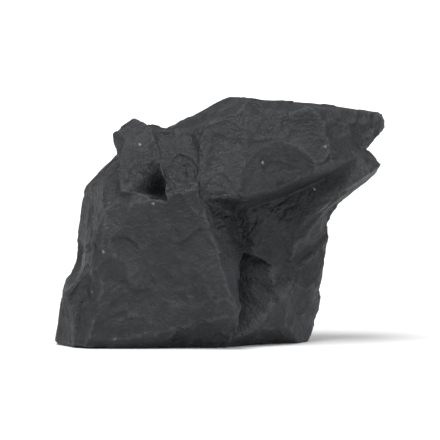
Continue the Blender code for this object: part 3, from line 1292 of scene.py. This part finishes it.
    def build(self) -> bpy.types.Material:
        """Links colour, roughness and relief to the surface.

        Returns:
            The finished material.
        """
        inputs = {
            "Base Color": self.colour(),
            "Roughness": self.roughness(),
            "Normal": self.relief(),
            "IOR": self.finish.ior,
            "Specular IOR Level": self.finish.specular_level,
            "Metallic": 0.0,
        }
        surface = add_node(self.tree, "ShaderNodeBsdfPrincipled", inputs=inputs).outputs["BSDF"]
        add_node(self.tree, "ShaderNodeOutputMaterial", inputs={"Surface": surface})
        return self.material


@dataclass
class ShungiteStone:
    """The chip itself: its skin, its relief and its finish, standing in the frame."""

    node: str = "shungite_stone"
    piece: str = "shungite_stone_surface"
    shape: RockShape = field(default_factory=RockShape)
    relief: BreakRelief = field(default_factory=BreakRelief)
    finish: ShungiteFinish = ShungiteFinish()
    worn_scale: Span = (0.02, 0.11)
    hollow_scale: Span = (0.03, 0.14)
    feeling_rounds: int = 8

    def build(self) -> bpy.types.Object:
        """Makes the stone's mesh, dresses it and ties it to its node.

        Returns:
            The finished piece.
        """
        grid, points = RockSkin(self.shape).build()
        points, fresh = self.relief.cut(grid, points, self.shape.balls)
        # Relief that stands out from the underside stops at the floor that the stone rests on.
        points[:, 2] = np.maximum(points[:, 2], 0.0)
        mesh = bpy.data.meshes.new(self.piece)
        mesh.from_pydata(self.in_frame(points), [], grid.faces)
        mesh.polygons.foreach_set("use_smooth", np.ones(len(grid.faces), dtype=bool))
        self.store(mesh, grid, points, fresh)
        mesh.materials.append(ShungiteMaterial(self.finish).build())
        stone = bpy.data.objects.new(self.piece, mesh)
        bpy.context.scene.collection.objects.link(stone)
        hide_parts(self.node)
        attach(stone, "root")
        return stone

    def in_frame(self, points: np.ndarray) -> np.ndarray:
        """Scales the points to fill the node's box, which turns millimetres to the frame's metres.

        Args:
            points: The stone's points, in millimetres.

        Returns:
            The points in metres.
        """
        low, high = (np.array(corner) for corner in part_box(self.node))
        least, most = points.min(axis=0), points.max(axis=0)
        return low + (points - least) * (high - low) / (most - least)

    def store(
        self,
        mesh: bpy.types.Mesh,
        grid: DirectionGrid,
        points: np.ndarray,
        fresh: np.ndarray,
    ) -> None:
        """Stores where the surface is worn, hollow or freshly broken.

        A point that stands proud of its neighbourhood is worn, and one that lies under it is hollow.

        Args:
            mesh: Mesh to store on.
            grid: The grid that joins the points.
            points: The stone's points, in millimetres.
            fresh: How fresh the break is at each point.
        """
        mean = points
        for _ in range(self.feeling_rounds):
            mean = grid.neighbour_mean(mean, np.ones(len(grid.edges)))
        proud = along(points - mean, mesh_normals(grid, points))
        shares = {
            SkinLayer.WORN: smooth_step(proud, *self.worn_scale),
            SkinLayer.HOLLOW: smooth_step(-proud, *self.hollow_scale),
            SkinLayer.FRESH: fresh,
        }
        for layer, share in shares.items():
            attribute = mesh.attributes.new(layer.value, "FLOAT", "POINT")
            attribute.data.foreach_set("value", share)


@dataclass(frozen=True)
class PaperFinish:
    """Matt white backdrop paper, whose pressed fibres give the eye an even white with no shine."""

    name: str = "matt_white_paper"
    colour: str = "#f7f7f7"
    roughness: float = 0.9
    specular_level: float = 0.0

    def build(self) -> bpy.types.Material:
        """Makes the paper's material.

        Returns:
            The material.
        """
        material = bpy.data.materials.new(self.name)
        material.use_nodes = True
        surface = material.node_tree.nodes["Principled BSDF"]
        surface.inputs["Base Color"].default_value = linear(self.colour)
        surface.inputs["Roughness"].default_value = self.roughness
        surface.inputs["Specular IOR Level"].default_value = self.specular_level
        return material


@dataclass(frozen=True)
class SoftSky:
    """A wide patch of soft daylight: where it stands and how wide it is, in degrees, and its strength."""

    name: str
    azimuth: float
    elevation: float
    width: float
    strength: float


@dataclass
class Studio:
    """A pale round floor that curves up at its rim, under soft light from above and the left."""

    floor_radius: float = 0.80
    level_rings: int = 10
    curve_radius: float = 0.14
    wall_height: float = 0.16
    turns: int = 96
    curve_steps: int = 16
    wall_steps: int = 2
    paper: PaperFinish = PaperFinish()
    room_strength: float = 0.38
    skies: tuple[SoftSky, ...] = (
        SoftSky("left_front_sky", azimuth=-32.0, elevation=64.0, width=36.0, strength=2.6),
        SoftSky("overhead_sky", azimuth=20.0, elevation=82.0, width=90.0, strength=0.5),
        SoftSky("right_front_sky", azimuth=48.0, elevation=18.0, width=60.0, strength=0.9),
    )

    def build(self) -> list[bpy.types.Object]:
        """Makes the floor, the room's light and the skies.

        Returns:
            The floor and the skies.
        """
        floor = self.floor()
        world = bpy.data.worlds.new("pale_room")
        world.use_nodes = True
        background = world.node_tree.nodes["Background"]
        background.inputs["Color"].default_value = (1.0, 1.0, 1.0, 1.0)
        background.inputs["Strength"].default_value = self.room_strength
        bpy.context.scene.world = world
        return [floor] + [self.sky(sky) for sky in self.skies]

    def profile(self) -> np.ndarray:
        """The bowl's section, as distances from its middle and heights.

        A level line from the middle, a quarter circle of the curve's radius, and a plumb line.

        Returns:
            Rows of distance and height, without the middle itself.
        """
        level_radius = self.floor_radius - self.curve_radius
        level = np.linspace(0.0, 1.0, self.level_rings + 2)[1:-1] * level_radius
        turn = np.linspace(0.0, math.pi / 2.0, self.curve_steps)
        curve = np.column_stack((np.sin(turn), 1.0 - np.cos(turn))) * self.curve_radius
        curve[:, 0] += level_radius
        heights = np.linspace(self.curve_radius, self.wall_height, self.wall_steps)[1:]
        wall = np.column_stack((np.full_like(heights, self.floor_radius), heights))
        return np.vstack((np.column_stack((level, np.zeros_like(level))), curve, wall))

    def floor(self) -> bpy.types.Object:
        """Carries the section round, closes it with one point in the middle, and finishes it.

        Returns:
            The floor.
        """
        profile = self.profile()
        turn = np.arange(self.turns) * (2.0 * math.pi / self.turns)
        rings = np.empty((len(profile), self.turns, 3))
        rings[..., 0] = profile[:, :1] * np.cos(turn)
        rings[..., 1] = profile[:, :1] * np.sin(turn)
        rings[..., 2] = profile[:, 1:]
        points = np.vstack(((0.0, 0.0, 0.0), rings.reshape(-1, 3)))
        labels = 1 + np.arange(len(profile) * self.turns).reshape(len(profile), self.turns)
        turned = np.roll(labels, -1, axis=1)
        quads = np.stack((labels[:-1], labels[1:], turned[1:], turned[:-1]), axis=-1).reshape(-1, 4)
        fan = np.stack((np.zeros(self.turns, dtype=int), labels[0], turned[0]), axis=-1)
        mesh = bpy.data.meshes.new("pale_floor")
        mesh.from_pydata(points, [], quads.tolist() + fan.tolist())
        mesh.polygons.foreach_set("use_smooth", np.ones(len(mesh.polygons), dtype=bool))
        mesh.materials.append(self.paper.build())
        floor = bpy.data.objects.new("pale_floor", mesh)
        bpy.context.scene.collection.objects.link(floor)
        return floor

    def sky(self, sky: SoftSky) -> bpy.types.Object:
        """Makes a patch of sky that shines on the whole floor evenly.

        Args:
            sky: Which patch to make.

        Returns:
            The lamp.
        """
        data = bpy.data.lights.new(sky.name, "SUN")
        data.angle = math.radians(sky.width)
        data.energy = sky.strength
        lamp = bpy.data.objects.new(sky.name, data)
        lamp.rotation_euler = aimed(-outward(sky.azimuth, sky.elevation))
        bpy.context.scene.collection.objects.link(lamp)
        return lamp


def outward(azimuth: float, elevation: float) -> np.ndarray:
    """Unit vector from the stone to a place round it: from its front, turned to its right, then up.

    Args:
        azimuth: Degrees from the front, positive to the stone's right.
        elevation: Degrees above the floor.

    Returns:
        The vector.
    """
    turn, rise = math.radians(azimuth), math.radians(elevation)
    return np.array((math.sin(turn) * math.cos(rise), -math.cos(turn) * math.cos(rise), math.sin(rise)))


def aimed(direction: np.ndarray) -> tuple[float, float, float]:
    """The turn that makes an object's -Z look along a direction, with +Z of the room up.

    Args:
        direction: Where to look, of any length.

    Returns:
        Euler angles in radians.
    """
    level = math.hypot(direction[0], direction[1])
    return (math.atan2(level, -direction[2]), 0.0, math.atan2(-direction[0], direction[1]))


@dataclass
class Viewpoint:
    """The camera, nearly level with the stone's front and far away behind a long lens.

    Its angles are degrees, its lens and sensor are millimetres, and its clip distances are metres.
    """

    azimuth: float = 0.0
    elevation: float = 3.0
    lens: float = 300.0
    sensor: float = 36.0
    filled_share: float = 0.75
    clip: Span = (0.01, 10.0)

    def build(self) -> bpy.types.Object:
        """Aims at the middle of the stone's box, from where its width fills its share of the picture.

        Returns:
            The camera.
        """
        low, high = (np.array(corner) for corner in FRAME_BOUNDS)
        distance = (high - low)[0] / self.filled_share * self.lens / self.sensor
        away = outward(self.azimuth, self.elevation)
        data = bpy.data.cameras.new("front_camera")
        data.lens = self.lens
        data.sensor_width = self.sensor
        data.clip_start, data.clip_end = self.clip
        camera = bpy.data.objects.new("front_camera", data)
        camera.location = (low + high) / 2.0 + away * distance
        camera.rotation_euler = aimed(-away)
        bpy.context.scene.collection.objects.link(camera)
        bpy.context.scene.camera = camera
        return camera


def main() -> None:
    """Builds the camera, the studio and the stone, in that order."""
    logging.basicConfig(level=logging.INFO, format="%(message)s")
    bpy.context.scene.view_settings.view_transform = "Standard"
    camera = Viewpoint().build()
    log.info("camera %s", camera.name)
    for thing in Studio().build():
        log.info("studio %s", thing.name)
    stone = ShungiteStone().build()
    log.info("stone %s with %d faces", stone.name, len(stone.data.polygons))


if __name__ == "__main__":
    main()
